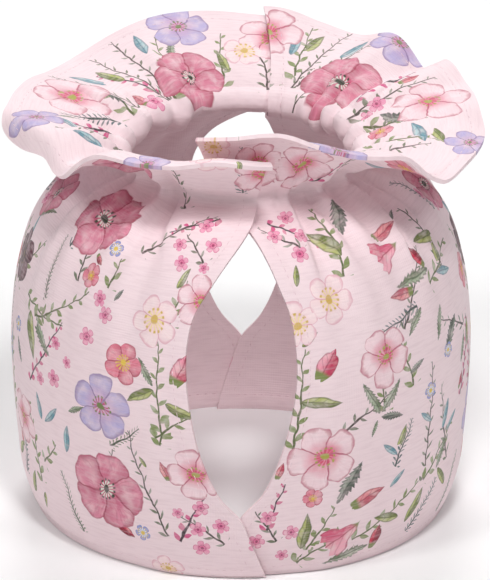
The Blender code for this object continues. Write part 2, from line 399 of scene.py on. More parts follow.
def flap_drop(bearing, up, radius):
    """How far the bent tip of the collar is pushed out of its curve, in mm."""
    along, beyond = beside_fold(FLAP, bearing, up, math.radians(1) * radius)
    share = min(max(beyond / FLAP.width, 0.0), FLAP_LIMIT)
    start = ease((along + FLAP_RUN_OUT) / FLAP_FADE)
    end = ease((1 + FLAP_RUN_OUT - along) / FLAP_FADE)
    return FLAP.depth * share * start * end


def turning_rise(to_edge):
    """How far the turned edge stands proud of the cloth, in mm, at a distance from the edge."""
    if to_edge > TURNING + 1:
        return 0.0
    groove = max(0.0, 1 - abs(to_edge - STITCH_INSET) / GROOVE_HALF_WIDTH)
    return TURNING_RISE * ease(TURNING + 0.5 - to_edge) - GROOVE * ease(groove)


class Sewn:
    """One half laid out: for each column and row, the point, its bearing and its way up the cloth."""

    def __init__(self, half):
        self.half = half
        self.rows = even_rows()
        self.rings = [ring_at(row) for row in self.rows]
        self.body_line = [meridian(None, row) for row in self.rows[: BODY_LINES + 1]]
        self.columns = [self.column(i / COLUMNS) for i in range(COLUMNS + 1)]

    def bearing(self, share, ring):
        half = self.half
        front_edge, back_edge = getattr(ring, half.front_edge), getattr(ring, half.back_edge)
        bearing = half.back * share
        bearing += front_edge * (1 - ease(share / EDGE_SHARE))
        bearing += (back_edge - half.back) * (1 - ease((1 - share) / EDGE_SHARE))
        return bearing, front_edge, back_edge

    def column(self, share):
        half = self.half
        wave = gather_wave(share)
        lines = []
        points = []
        for row, ring in zip(self.rows, self.rings):
            bearing, front_edge, back_edge = self.bearing(share, ring)
            if row <= NECK_ROW:
                curve = None
                point = self.body_line[len(lines)]
            else:
                curve = collar_curve(half, bearing)
                point = meridian(curve, row)
            top = NECK_ROW + COLLAR_ROWS if curve else NECK_ROW
            slope = [meridian(curve, min(max(row + step, 0), top)) for step in (-ROW_STEP, ROW_STEP)]
            lines.append((row, ring, bearing, front_edge, back_edge, slope))
            points.append(point)
        found = []
        lengths = [0.0]
        for a, b in zip(points, points[1:]):
            lengths.append(lengths[-1] + math.dist(a, b))
        neck_up = lengths[BODY_LINES]
        for line, (radius, height), up in zip(lines, points, lengths):
            row, ring, bearing, front_edge, back_edge, (before, after) = line
            lapped = lap(bearing)
            folds = ring.gather * wave - crease_depth(bearing, up, radius)
            folds -= pleat_depth(bearing, up, radius)
            if row <= NECK_ROW:
                folds -= trough_depth(bearing, height)
            side = min(abs(bearing - front_edge), abs(bearing - back_edge))
            to_edge = min(math.radians(side) * radius, up, lengths[-1] - up)
            lift = (THICKNESS / 2 + half.side * lapped * LAP_LIFT) / MM + folds * (1 - lapped)
            lift += flap_drop(bearing, up, radius)
            lift += turning_rise(to_edge) - TUCK * ease(1 - abs(up - neck_up) / TUCK_HALF_WIDTH)
            across, rise = after[0] - before[0], after[1] - before[1]
            length = math.hypot(across, rise)
            radius += lift * rise / length
            height -= lift * across / length
            angle = math.radians(bearing)
            place = Vector((
                AXIS_X + radius * math.sin(angle) * MM,
                AXIS_Y - radius * math.cos(angle) * MM,
                height * MM,
            ))
            found.append((place, bearing, up))
        return found


# The print. Every motif has its bearing, its place up the cloth in mm, its turn from level in
# degrees, its size in mm, which is the radius of a bloom and the length of the rest, and its bend.
Motif = namedtuple("Motif", "kind bearing up turn size bend", defaults=(0.0,))
BLOOM_KINDS = ("poppy", "open", "anemone", "blush", "rose", "violet", "maroon", "tiny")
BUD_KINDS = ("rosebud", "coral", "crimson", "bell")
LEAF_KINDS = ("sage", "grey", "lime", "teal")
SPRIG_KINDS = ("stem", "twig", "fern", "pine", "blossom")


def chart(**places_by_kind):
    """The motifs of a chart, which gives the places of each kind."""
    return [Motif(kind, *place) for kind, places in places_by_kind.items() for place in places]


BODY_BLOOMS = chart(
    poppy=[(-53, 135, 20, 15.5), (-36, 33, -25, 16), (93, 128, 15, 11)],
    anemone=[(-37, 67, 60, 13), (86, 40, 20, 12)],
    rose=[(-31, 86, 40, 8), (-46, 114, 90, 5), (18.5, 35, 80, 4), (-94, 22, 10, 5.5), (84, 96, 0, 7)],
    blush=[(-23, 104, 10, 10), (-20, 4, 0, 7), (25, 112, 30, 10), (15, 104, 0, 9), (-91, 70, 20, 8)],
    violet=[(-41, 126, 0, 3.2), (-26, 19, 20, 3.4), (-76, 79, 0, 3.2), (55, 65, 0, 3.4),
        (64, 76, 30, 3.2), (96, 66, 40, 3.4)],
    maroon=[(-84, 102, 0, 11)],
    open=[(-11, 113, 60, 10), (-11, 47, 15, 11), (39, 86, 90, 12), (21, 51, 5, 14), (-72, 44, 30, 11)],
    tiny=[(-41, 107, 0, 3.2), (-38, 102, 30, 3.4), (-43, 92, 20, 3.6), (-54, 84, 50, 2.6),
        (-49, 79, 10, 2.4), (-54, 70, 0, 3.6), (-60, 67, 40, 2.8), (-13, 142, 0, 3.2),
        (-20, 133, 25, 2.8), (-9, 134, 60, 3.2), (-18, 126, 10, 3.2), (-11, 125, 45, 2.2),
        (-10, 33, 0, 3.2), (-16, 30, 35, 2.4), (-5, 26, 15, 3.2), (-11, 24, 50, 3.2),
        (-10, 16, 0, 3.4), (19, 148, 0, 3.4), (12, 139, 20, 3.2), (22, 138, 50, 3.2),
        (19, 130, 10, 3.6), (7, 28, 30, 3.2), (13, 21, 0, 3.2), (4, 18, 40, 3.4), (11, 11, 20, 2.8),
        (-92, 122, 0, 3.4), (-97, 130, 30, 3.2)],
)
COLLAR_BLOOMS = chart(
    open=[(26, 172, 20, 13.5), (8, 173, 50, 12), (-112, 182, 35, 16.5), (172, 191, 10, 13.5),
        (104, 187, 60, 15)],
    anemone=[(-30, 190, 0, 10.5), (31, 193, 40, 11.5), (-163, 197, 0, 12.5), (137, 202, 0, 11),
        (81, 200, 20, 10.5), (-86, 192, 50, 11)],
    blush=[(-11, 182, 0, 9), (-181, 182, 0, 9)],
    poppy=[(-159, 169, 30, 14), (139, 171, 25, 15.5), (-50, 172, 0, 12.5)],
    tiny=[(115, 170, 0, 3.6), (112, 164, 30, 3.2), (-136, 161, 10, 3.6), (-78, 166, 20, 3.6),
        (62, 165, 0, 3.4)],
    rose=[(90, 166, 0, 5), (56, 188, 40, 8)],
)
BODY_BUDS = chart(
    rosebud=[(-16.5, 82, 68, 12.5), (20, 83, 56, 12.5)],
    coral=[(-18, 43, 112, 8.5), (46, 128, 12, 15), (53, 105, 176, 13), (29, 28, 20, 16),
        (9, 44, 70, 7.5), (-75, 30, 100, 8)],
    crimson=[(-34, 20, -28, 9), (-47, 122, -35, 6), (60, 111, 118, 10.5), (37, 7, 76, 11),
        (71, 56, 60, 7)],
    bell=[(55, 124, 192, 17), (33, 22, 214, 18)],
)
BODY_LEAVES = chart(
    sage=[(-22, 80, 125, 12.5), (-66, 89, -38, 18), (61, 110, 184, 20), (54, 98, 226, 12.5),
        (63, 95, 246, 14), (36, 9, 192, 20), (37, 64, 118, 16), (37, 64, 52, 15), (36, 62, 250, 7),
        (-86, 118, 30, 13), (60, 30, 60, 13), (72, 66, 60, 12), (-48, 60, 30, 9)],
    lime=[(-22, 79, 212, 13), (-19, 74, -22, 13.5), (-18, 117, 62, 9), (-68, 89, -72, 18),
        (-62, 19, -105, 8.5), (-24, 47, 128, 5), (32, 126, 116, 17), (73, 118, 172, 17),
        (68, 107, 80, 13), (79, 80, -95, 12), (15, 75, -10, 16), (16, 96, 36, 8), (16, 118, 80, 8.5),
        (43, 47, 68, 10), (45, 18, 166, 13), (16, 13, 82, 16), (48, 14, 52, 15), (-97, 52, 60, 12),
        (99, 24, 40, 12), (84, 20, 60, 12), (66, 20, 128, 13), (-70, 14, 70, 12)],
    teal=[(-60, 50, 108, 11), (-58.5, 50, 46, 12), (-50, 42, 82, 12), (-30, 63, 190, 5.5),
        (74, 103, 168, 13), (43, 45, 138, 9.5), (41, 32, 38, 9), (62, 45, 76, 12), (64, 43, 38, 10),
        (-82, 60, 100, 13), (97, 108, 110, 12), (56, 52, 140, 9)],
    grey=[(-36, 108, 60, 6), (37, 134, 72, 17), (59, 132, 24, 8), (70, 87, 228, 17), (25, 31, 58, 19),
        (37, 63, -12, 11), (-72, 66, 120, 10), (47, 76, 20, 9)],
)
COLLAR_BUDS = chart(
    coral=[(-133, 160, 80, 8), (119, 182, 96, 9)],
    crimson=[(-96, 164, 80, 9)],
)
COLLAR_LEAVES = chart(
    teal=[(-131, 178, 62, 17), (-150, 184, 96, 14), (163, 179, 84, 15), (92, 178, 162, 17),
        (-76, 176, 150, 15), (-68, 170, 120, 14), (66, 178, 200, 15), (148, 184, 112, 15)],
    sage=[(-155, 178, 118, 13), (-94, 172, 60, 14)],
    grey=[(-122, 162, 78, 16), (104, 168, 132, 18), (-20, 176, 60, 10)],
    lime=[(-136, 176, 74, 14), (160, 182, 108, 14), (88, 184, 150, 14), (46, 176, 110, 12),
        (-1, 187, 80, 8), (-175, 170, 75, 12)],
)
BODY_SPRIGS = chart(
    pine=[(-62, 96, 92, 27), (-46, 10, 112, 25)],
    stem=[(-66, 88, 26, 36, 0.12), (-39, 112, 84, 12), (-19, 104, 72, 17), (-20, 56, 91, 44, 0.04),
        (-63, 22, 98, 32, 0.06), (-61, 32, 48, 15), (31, 118, 88, 32, 0.05), (54, 28, 42, 25),
        (15, 6, 60, 28), (15, 6, 38, 24), (13, 56, 80, 40, 0.05), (38, 64, 90, 15), (-82, 40, 88, 36)],
    blossom=[(-66, 63, 52, 36, 0.1), (82, 50, 100, 34)],
    twig=[(-33, 127, 50, 31, -0.15), (-24, 150, 118, 15), (-11, 126, 128, 16),
        (-18.5, 19, 117, 44, -0.12), (78, 78, 156, 26), (69, 106, 94, 28), (54, 28, 84, 48, 0.06),
        (21, 131, 142, 20), (9, 17, 118, 16), (-4, 18, 146, 20)],
    fern=[(53, 99, 188, 25, 0.1), (50, 8, 50, 24), (84, 122, 110, 22)],
)
COLLAR_SPRIGS = chart(
    twig=[(-145, 159, 68, 40, 0.08), (-146, 159, 88, 42), (157, 162, 100, 42),
        (156, 162, 116, 40, 0.08), (116, 158, 84, 38, 0.15), (-74, 160, 96, 28), (-26, 160, 100, 26),
        (48, 162, 96, 26)],
    stem=[(-148, 159, 106, 36), (158, 163, 82, 36), (-118, 159, 100, 22), (102, 160, 110, 26),
        (78, 160, 80, 30)],
    fern=[(0, 160, 88, 22)],
)
BODY_BRANCHES = chart(
    stem=[(-73, 93, -8, 30, 0.1), (-22, 60, 40, 22, -0.1), (60, 104, 20, 26), (30, 14, 20, 36, 0.1),
        (-90, 84, 100, 30), (98, 92, 60, 26), (48, 70, 100, 22, 0.08)],
    twig=[(-50, 110, 100, 30, 0.1), (-15, 84, 60, 24), (-42, 24, 60, 30, 0.1), (47, 92, 60, 34, -0.1),
        (26, 60, 30, 26), (66, 30, 110, 36, -0.1), (-96, 36, 84, 34, 0.1)],
    blossom=[(6, 22, 70, 22), (-16, 18, 64, 22), (10, 146, -30, 26), (-8, 146, 205, 22),
        (73, 52, 74, 30)],
    fern=[(-74, 20, 80, 30), (92, 62, 80, 28, 0.1), (42, 40, 64, 20), (-58, 120, 64, 20)],
    pine=[(66, 8, 60, 24), (-34, 52, 40, 16)],
)
COLLAR_BRANCHES = chart(
    twig=[(-128, 160, 70, 40, 0.1), (168, 160, 74, 38, -0.1), (96, 160, 74, 34), (-60, 160, 60, 30),
        (66, 160, 60, 30)],
    blossom=[(-142, 164, 60, 26), (122, 166, 92, 26), (-88, 162, 70, 26), (34, 160, 60, 24)],
    fern=[(-106, 160, 60, 26)],
    stem=[(130, 160, 60, 26), (-172, 162, 96, 30)],
)


# The radius that the print reckons with: even up the body, less up the shoulder and more again up
# the collar, by so many mm for each mm of cloth.
PRINT_RADIUS = 82.0
SHOULDER_UP = 118
SHOULDER_SLOPE = 0.92
NECK_UP = 157
NECK_RADIUS = 46.0
COLLAR_SLOPE = 0.95
COLLAR_LENGTH = 42


def girth(up):
    """Millimetres round the body in one degree of bearing, at a place up the cloth."""
    if up < SHOULDER_UP:
        return math.radians(PRINT_RADIUS)
    if up < NECK_UP:
        return math.radians(PRINT_RADIUS - (up - SHOULDER_UP) * SHOULDER_SLOPE)
    return math.radians(NECK_RADIUS + min(up - NECK_UP, COLLAR_LENGTH) * COLLAR_SLOPE)


# How far from the middle of a half a motif may stand and how wide the strips are in which motifs are
# looked up, in degrees, and how far any motif may reach for its size.
HALF_REACH = 130
STRIP = 6
MOTIF_REACH = 1.15


def motifs_of(half, body, collar):
    """The motifs that fall on a half. Those of the body's front come again on its back."""
    middle = half.back / 2
    found = []
    for charted, turn in ((body, 180), (collar, 360)):
        for motif in charted:
            for times in (-2, -1, 0, 1, 2):
                bearing = motif.bearing + turn * times
                if abs(bearing - middle) < HALF_REACH:
                    found.append(motif._replace(bearing=bearing))
    return found


def in_motif(motif, bearing, up):
    """Where a point of the cloth lies in a motif, along it and across it, with its size as 1."""
    across = (bearing - motif.bearing) * girth(up)
    rise = up - motif.up
    turn = math.radians(motif.turn)
    x = (across * math.cos(turn) + rise * math.sin(turn)) / motif.size
    y = (rise * math.cos(turn) - across * math.sin(turn)) / motif.size
    return x, y - motif.bend * x * x


# How far each layer's motifs reach for their size, and the half-width of a sprig in mm.
BLOOM_RADIUS = 1.12
LEAF_HALF_LENGTH = 0.53
LEAF_HALF_WIDTH = 0.5
SPRIG_HALF_LENGTH = 0.52
SPRIG_HALF_WIDTH = 6.0


def bloom_reach(motif, x, y):
    return math.hypot(x, y) / BLOOM_RADIUS


def leaf_reach(motif, x, y):
    return max(abs(x - 0.5) / LEAF_HALF_LENGTH, abs(y) / LEAF_HALF_WIDTH)


def sprig_reach(motif, x, y):
    return max(abs(x - 0.5) / SPRIG_HALF_LENGTH, abs(y) * motif.size / SPRIG_HALF_WIDTH)


# The layers of the print, from the top one down. Sprigs are drawn in mm, so that their stems and
# leaflets are alike whatever their length. The size of a motif goes with the number of its kind.
MIDDLE_SIZE = 25
Layer = namedtuple("Layer", "name kinds reach in_mm body collar")
LAYERS = [
    Layer("bloom", BLOOM_KINDS, bloom_reach, False, BODY_BLOOMS, COLLAR_BLOOMS),
    Layer("bud", BUD_KINDS, leaf_reach, False, BODY_BUDS, COLLAR_BUDS),
    Layer("leaf", LEAF_KINDS, leaf_reach, False, BODY_LEAVES, COLLAR_LEAVES),
    Layer("sprig", SPRIG_KINDS, sprig_reach, True, BODY_SPRIGS, COLLAR_SPRIGS),
    Layer("branch", SPRIG_KINDS, sprig_reach, True, BODY_BRANCHES, COLLAR_BRANCHES),
]
NOWHERE = (90.0, 90.0, 0.0)


def lay_print(shape, half, place):
    """Writes at every face corner where it lies in the motif that covers the face, for each layer."""
    for layer in LAYERS:
        written = shape.loops.layers.float_vector.new(layer.name)
        motifs = motifs_of(half, layer.body, layer.collar)
        by_strip = {}
        for motif in motifs:
            spread = MOTIF_REACH * motif.size / girth(motif.up)
            first, last = (int((motif.bearing + side) // STRIP) for side in (-spread, spread))
            for strip in range(first, last + 1):
                by_strip.setdefault(strip, []).append(motif)
        for face in shape.faces:
            bearing = sum(place[corner.vert][0] for corner in face.loops) / len(face.loops)
            up = sum(place[corner.vert][1] for corner in face.loops) / len(face.loops)
            best, nearest = None, 1.0
            for motif in by_strip.get(int(bearing // STRIP), ()):
                if abs(up - motif.up) > MOTIF_REACH * motif.size:
                    continue
                reach = layer.reach(motif, *in_motif(motif, bearing, up))
                if reach < nearest:
                    best, nearest = motif, reach
            for corner in face.loops:
                if best is None:
                    corner[written] = NOWHERE
                    continue
                x, y = in_motif(best, *place[corner.vert][:2])
                unit = best.size if layer.in_mm else 1.0
                number = layer.kinds.index(best.kind) + 1 + (best.size - MIDDLE_SIZE) / 100
                corner[written] = (x * unit, y * unit, number)


def linear(code):
    """An sRGB hex colour as the linear colour that a shader takes."""
    parts = [int(code[i : i + 2], 16) / 255 for i in (1, 3, 5)]
    return [c / 12.92 if c <= 0.04045 else ((c + 0.055) / 1.055) ** 2.4 for c in parts] + [1.0]


def add_node(tree, kind, *values, named=None, stops=(), **settings):
    """Adds a node and returns its first output. The kind may be followed by the node's operation. A
    value or an output goes to each input in turn, or to the input that is named. Stops are the
    places and colours of a ramp."""
    kind, _, operation = kind.partition(" ")
    node = tree.nodes.new("ShaderNode" + kind)
    if operation:
        node.operation = operation
    for name, setting in settings.items():
        setattr(node, name, setting)
    for socket, value in [*enumerate(values), *(named or {}).items()]:
        if isinstance(value, bpy.types.NodeSocket):
            tree.links.new(value, node.inputs[socket])
        elif value is not None:
            node.inputs[socket].default_value = value
    for i, (place, colour) in enumerate(stops):
        points = node.color_ramp.elements
        point = points[i] if i < 2 else points.new(place)
        point.position, point.color = place, colour
    if stops:
        node.color_ramp.interpolation = "CONSTANT"
    return node.outputs[0]


def by_kind(*rows):
    """The stops of a ramp that gives each kind of motif its colour or its three numbers, in the
    order of the kinds."""
    rows = [linear(row) if isinstance(row, str) else (*row, 1.0) for row in ("#000000", *rows)]
    return [(max(0, (i - 0.5) / 10), row) for i, row in enumerate(rows)]


def motif_place(add, layer, wobble, sway):
    """Where a point lies in its motif, swayed a little so that no outline is stiff, with the kind of
    the motif in tenths and its size in mm."""
    found = add("Attribute", attribute_name=layer).node.outputs["Vector"]
    number = add("SeparateXYZ", found).node.outputs["Z"]
    kind = add("Math ROUND", number)
    size = add("Math SUBTRACT", number, kind)
    size = add("Math MULTIPLY_ADD", size, 100.0, MIDDLE_SIZE)
    kind = add("Math DIVIDE", kind, 10.0)
    place = add("VectorMath MULTIPLY_ADD", wobble, (sway, sway, 0.0), found)
    return place, kind, size


# How far the outlines are swayed, as a share of a bloom or leaf and in mm for a sprig.
BLOOM_SWAY = 0.36
LEAF_SWAY = 0.16
SPRIG_SWAY = 3.6

PETALS = 5
STAMENS = 13

# The colours of the blooms by kind: near the heart, further out, their lines, the heart with the
# ends of the stamens, and the ring of stamens.
BLOOM_COLOURS = (
    ("#c95a7b", "#df6a8a", "#cfa5c9", "#f7cfd2", "#d9486a", "#b9b2e0", "#431322", "#d94f86"),
    ("#df8aa1", "#fadde3", "#bfb2da", "#fbe3e4", "#e8879a", "#8f9ad2", "#5d1f33", "#f0a3c0"),
    ("#a3304f", "#b02c54", "#84699c", "#dc98ac", "#a92745", "#5b5ba8", "#2d0b18", "#c8447a"),
    ("#2f3a28", "#a9a648", "#74824a", "#d8b45c", "#e2c24a", "#e6c65a", "#7a5a3c", "#a23a63"),
    ("#dfe2d6", "#d4506e", "#c0577a", "#f3dca4", "#e0b94e", "#f2f0e6", "#2a0812", "#e57fa6"),
)


def draw_blooms(add, ground, wobble, wash):
    """Round blooms of five petals in watery ink, with a rim line, petal seams, veins and stamens."""
    place, kind, _ = motif_place(add, "bloom", wobble, BLOOM_SWAY)
    flat = add("VectorMath MULTIPLY", place, (1.0, 1.0, 0.0))
    radius = add("VectorMath LENGTH", flat).node.outputs["Value"]
    parts = add("SeparateXYZ", flat).node
    angle = add("Math ARCTAN2", parts.outputs["Y"], parts.outputs["X"])
    shape = add("ValToRGB", kind, stops=by_kind(
        (0.16, 0.11, 0.65), (0.30, 0.12, 0.22), (0.34, 0.12, 0.30), (0.32, 0.20, 0.25),
        (0.20, 0.16, 0.70), (0.40, 0.30, 0.30), (0.22, 0.16, 0.80), (0.46, 0.18, 0.60)))
    shape = add("SeparateColor", shape).node
    notch, heart, depth = (shape.outputs[i] for i in range(3))

    # Each petal turns a little as it leaves the heart, so that it seems to lie over the next one.
    petal = add("Math MULTIPLY", radius, 0.11)
    petal = add("Math MULTIPLY_ADD", angle, PETALS / (2 * math.pi), petal)
    petal = add("Math FRACT", petal)
    off = add("Math SUBTRACT", petal, 0.5)
    off = add("Math ABSOLUTE", off)
    off = add("Math MULTIPLY", off, 2.0)
    notched = add("Math POWER", off, 3.5)
    notched = add("Math MULTIPLY", notched, notch)
    outline = add("Math SUBTRACT", 0.98, notched)
    inside = add("Math SUBTRACT", outline, radius)
    mask = add("MapRange", inside, 0.0, 0.03)
    rim_width = add("MapRange", wash, 0.36, 0.62, 0.04, 0.2)
    rim = add("MapRange", named={
        "Value": inside, "From Min": 0.015, "From Max": rim_width, "To Min": 1.0, "To Max": 0.0})
    seam = add("Math SUBTRACT", 1.0, off)
    seam = add("Math MULTIPLY", seam, radius)
    seam = add("MapRange", seam, 0.015, 0.05, 1.0, 0.0)
    line = add("Math MAXIMUM", rim, seam)

    fan = add("CombineXYZ", angle, radius)
    veins = add("TexNoise", named={
        "Vector": add("VectorMath MULTIPLY", fan, (7.0, 1.3, 0.0)), "Scale": 1.8})
    veins = add("MapRange", veins, 0.45, 0.72, 0.0, 0.5)
    under = add("MapRange", petal, 0.0, 0.45, 0.75, 0.0)
    tint = add("Math MAXIMUM", veins, under)
    tint = add("Math MULTIPLY", tint, depth)

    inner, outer, edge, heart_colour, ring_colour = (
        add("ValToRGB", kind, stops=by_kind(*colours)) for colours in BLOOM_COLOURS)

    spread = add("MapRange", radius, 0.2, 0.6)
    colour = add("MixRGB", spread, inner, outer)
    watery = add("MapRange", wash, 0.42, 0.68, 0.0, 0.5)
    colour = add("MixRGB", watery, colour, linear("#f8e3e6"))
    colour = add("MixRGB", tint, colour, edge)
    line = add("Math MULTIPLY", line, 0.8)
    colour = add("MixRGB", line, colour, edge)

    share = add("Math DIVIDE", radius, heart)
    spokes = add("Math MULTIPLY", angle, 2 * STAMENS / (2 * math.pi))
    spokes = add("Math PINGPONG", spokes, 1.0)
    spokes = add("MapRange", spokes, 0.3, 0.7)
    ring = add("MapRange", share, 1.7, 2.1, 1.0, 0.0)
    ring = add("Math MULTIPLY", ring, spokes)
    colour = add("MixRGB", ring, colour, ring_colour)
    dots = add("Math SUBTRACT", share, 2.1)
    dots = add("Math ABSOLUTE", dots)
    dots = add("MapRange", dots, 0.15, 0.3, 1.0, 0.0)
    dots = add("Math MULTIPLY", dots, spokes)
    colour = add("MixRGB", dots, colour, heart_colour)
    core = add("MapRange", share, 0.75, 0.95, 1.0, 0.0)
    colour = add("MixRGB", core, colour, heart_colour)
    return add("MixRGB", mask, ground, colour)


# The looks of the leaves and of the buds, by kind: the width, where the widest place lies and how
# blunt the tip is, with the dark and the light half and the edge. The first few kinds of leaves, as
# many as are said to be toothed, have a saw edge.
Look = namedtuple("Look", "layer shapes colours toothed_kinds calyx")
LEAF_TEETH = 9.0
LEAF_VEINS = 8.0
LEAF_LOOK = Look(
    "leaf",
    ((0.42, 0.35, 0.45), (0.55, 0.40, 0.50), (0.40, 0.30, 0.45), (0.36, 0.35, 0.40)),
    (("#71805f", "#565f54", "#6f7c3c", "#5f93a2"),
     ("#a9b69a", "#959c8e", "#b9be74", "#a8c9cf"),
     ("#4c5743", "#3a423b", "#515a2b", "#4c6f80")),
    2,
    False,
)
BUD_LOOK = Look(
    "bud",
    ((0.60, 0.25, 0.30), (0.50, 0.35, 0.35), (0.55, 0.35, 0.30), (0.72, 0.80, 0.09)),
    (("#c33a5c", "#c2405a", "#8e1430", "#dc5f80"),
     ("#f09db0", "#ea9398", "#d53a56", "#f6b4c3"),
     ("#96203f", "#8f2840", "#640c22", "#b02f52")),
    0,
    True,
)


def draw_leaves(add, ground, wobble, wash, look):
    """Single leaves, or buds and bells seen from the side, with their ribs and side veins."""
    place, kind, _ = motif_place(add, look.layer, wobble, LEAF_SWAY)
    parts = add("SeparateXYZ", place).node
    along = parts.outputs["X"]
    across = add("Math ABSOLUTE", parts.outputs["Y"])
    shape = add("ValToRGB", kind, stops=by_kind(*look.shapes))
    shape = add("SeparateColor", shape).node
    width, swell, close = (shape.outputs[i] for i in range(3))
    held = along
    if look.calyx:
        # Petal ends that stand out one beside the other, which shows at the wide mouth of a bell.
        ragged = add("Math PINGPONG", across, 0.11)
        held = add("Math ADD", along, ragged)
    held = add("Clamp", held)
    swell = add("Math MULTIPLY", swell, 2.0)
    close = add("Math MULTIPLY", close, 2.0)
    rise = add("Math POWER", held, swell)
    fall = add("Math SUBTRACT", 1.0, held)
    fall = add("Math POWER", fall, close)
    body = add("Math MULTIPLY", rise, fall)
    body = add("Math MULTIPLY", body, width)
    if look.toothed_kinds:
        saw = add("Math MULTIPLY", along, LEAF_TEETH)
        saw = add("Math FRACT", saw)
        toothed = add("Math LESS_THAN", kind, look.toothed_kinds / 10 + 0.05)
        toothed = add("Math MULTIPLY", toothed, 0.4)
        saw = add("Math MULTIPLY", saw, toothed)
        saw = add("Math SUBTRACT", 1.1, saw)
        body = add("Math MULTIPLY", body, saw)
    inside = add("Math SUBTRACT", body, across)
    mask = add("MapRange", inside, 0.0, 0.025)

    dark, light, edge = (
        add("ValToRGB", kind, stops=by_kind(*colours)) for colours in look.colours)
    fold = add("Math DIVIDE", parts.outputs["Y"], body)
    fold = add("MapRange", fold, -0.35, 0.45)
    colour = add("MixRGB", fold, dark, light)
    watery = add("MapRange", wash, 0.45, 0.68, 0.0, 0.45)
    colour = add("MixRGB", watery, colour, linear("#f3e9e4"))
    veins = add("Math MULTIPLY", across, 1.3)
    veins = add("Math SUBTRACT", along, veins)
    veins = add("Math MULTIPLY", veins, LEAF_VEINS)
    veins = add("Math PINGPONG", veins, 1.0)
    veins = add("MapRange", veins, 0.0, 0.3, 0.4, 0.0)
    colour = add("MixRGB", veins, colour, edge)
    rib = add("MapRange", across, 0.008, 0.025, 0.7, 0.0)
    outline = add("MapRange", inside, 0.015, 0.06, 0.85, 0.0)
    line = add("Math MAXIMUM", rib, outline)
    colour = add("MixRGB", line, colour, edge)
    if look.calyx:
        calyx = add("MapRange", along, 0.16, 0.26, 1.0, 0.0)
        colour = add("MixRGB", calyx, colour, linear("#7d8a4c"))
    return add("MixRGB", mask, ground, colour)


# The sine of the 45 degrees at which the leaflets leave the stem.
SLANT = 0.707


def draw_sprigs(add, ground, wobble, wash, layer):
    """Thin stems with leaflets or blossoms to either side."""
    place, kind, size = motif_place(add, layer, wobble, SPRIG_SWAY)
    parts = add("SeparateXYZ", place).node
    along = parts.outputs["X"]
    across = add("Math ABSOLUTE", parts.outputs["Y"])
    # By kind: the step between leaflets and their length, in cm, and how wide they are for it.
    shape = add("ValToRGB", kind, stops=by_kind(
        (0.66, 0.62, 0.34), (0.52, 0.50, 0.24), (0.20, 0.45, 0.18), (0.16, 0.45, 0.15), (0.50, 0.42, 0.46)))
    shape = add("SeparateColor", shape).node
    step, reach, fat = (shape.outputs[i] for i in range(3))
    step = add("Math MULTIPLY", step, 10.0)
    reach = add("Math MULTIPLY", reach, 10.0)
    below = add("Math LESS_THAN", parts.outputs["Y"], 0.0)
    below = add("Math MULTIPLY", below, 0.5)
    cell = add("Math DIVIDE", along, step)
    cell = add("Math ADD", cell, below)
    cell = add("Math FRACT", cell)
    cell = add("Math MULTIPLY", cell, step)
    # The leaflet is measured along itself and across itself.
    out = add("Math ADD", cell, across)
    out = add("Math MULTIPLY", out, SLANT)
    beside = add("Math SUBTRACT", cell, across)
    beside = add("Math MULTIPLY", beside, SLANT)
    beside = add("Math ABSOLUTE", beside)
    share = add("Math DIVIDE", along, size)
    taper = add("MapRange", share, 0.0, 1.0, 1.0, 0.5)
    reach = add("Math MULTIPLY", reach, taper)
    blade = add("Math DIVIDE", out, reach)
    blade = add("Clamp", blade)
    blade = add("Math MULTIPLY", blade, math.pi)
    blade = add("Math SINE", blade)
    blade = add("Math MULTIPLY", blade, reach)
    blade = add("Math MULTIPLY", blade, fat)
    blade = add("Math MULTIPLY", blade, 0.6)
    blade = add("Math SUBTRACT", blade, beside)
    blade_mask = add("MapRange", blade, 0.0, 0.2)
    held = add("Math SUBTRACT", share, 0.5)
    held = add("Math ABSOLUTE", held)
    held = add("MapRange", held, 0.48, 0.49, 1.0, 0.0)
    blade_mask = add("Math MULTIPLY", blade_mask, held)
    stem = add("MapRange", share, 0.0, 1.0, 0.55, 0.28)
    stem = add("Math SUBTRACT", stem, across)
    stem = add("MapRange", stem, 0.0, 0.2)
    stem = add("Math MULTIPLY", stem, held)
    stem_colour = add("ValToRGB", kind, stops=by_kind(
        "#5f683d", "#4c413a", "#46524f", "#45513c", "#43343a"))
    blade_colour = add("ValToRGB", kind, stops=by_kind(
        "#84915a", "#70765f", "#57676a", "#6f7a58", "#d5588a"))
    watery = add("MapRange", wash, 0.45, 0.68, 0.0, 0.4)
    blade_colour = add("MixRGB", watery, blade_colour, linear("#efe6e0"))
    colour = add("MixRGB", blade_mask, ground, blade_colour)
    return add("MixRGB", stem, colour, stem_colour)


def cloth_bump(add, place):
    """A plain weave of slightly uneven threads, as a normal."""
    weft = add("TexWave", named={
        "Vector": place, "Scale": 0.34, "Distortion": 2.2, "Detail": 2.0, "Detail Scale": 0.6},
        bands_direction="Y")
    warp = add("TexWave", named={
        "Vector": place, "Scale": 0.34, "Distortion": 1.0, "Detail": 1.0, "Detail Scale": 0.6},
        bands_direction="X")
    weave = add("MixRGB", 0.35, weft, warp)
    return add("Bump", named={"Strength": 0.4, "Distance": 0.14 * MM, "Height": weave})


def blank_material(name, roughness):
    """A material without metal, with the function that adds its nodes and with its shader."""
    material = bpy.data.materials.new(name)
    material.use_nodes = True
    shader = material.node_tree.nodes["Principled BSDF"]
    shader.inputs["Roughness"].default_value = roughness
    shader.inputs["Metallic"].default_value = 0.0
    return material, partial(add_node, material.node_tree), shader


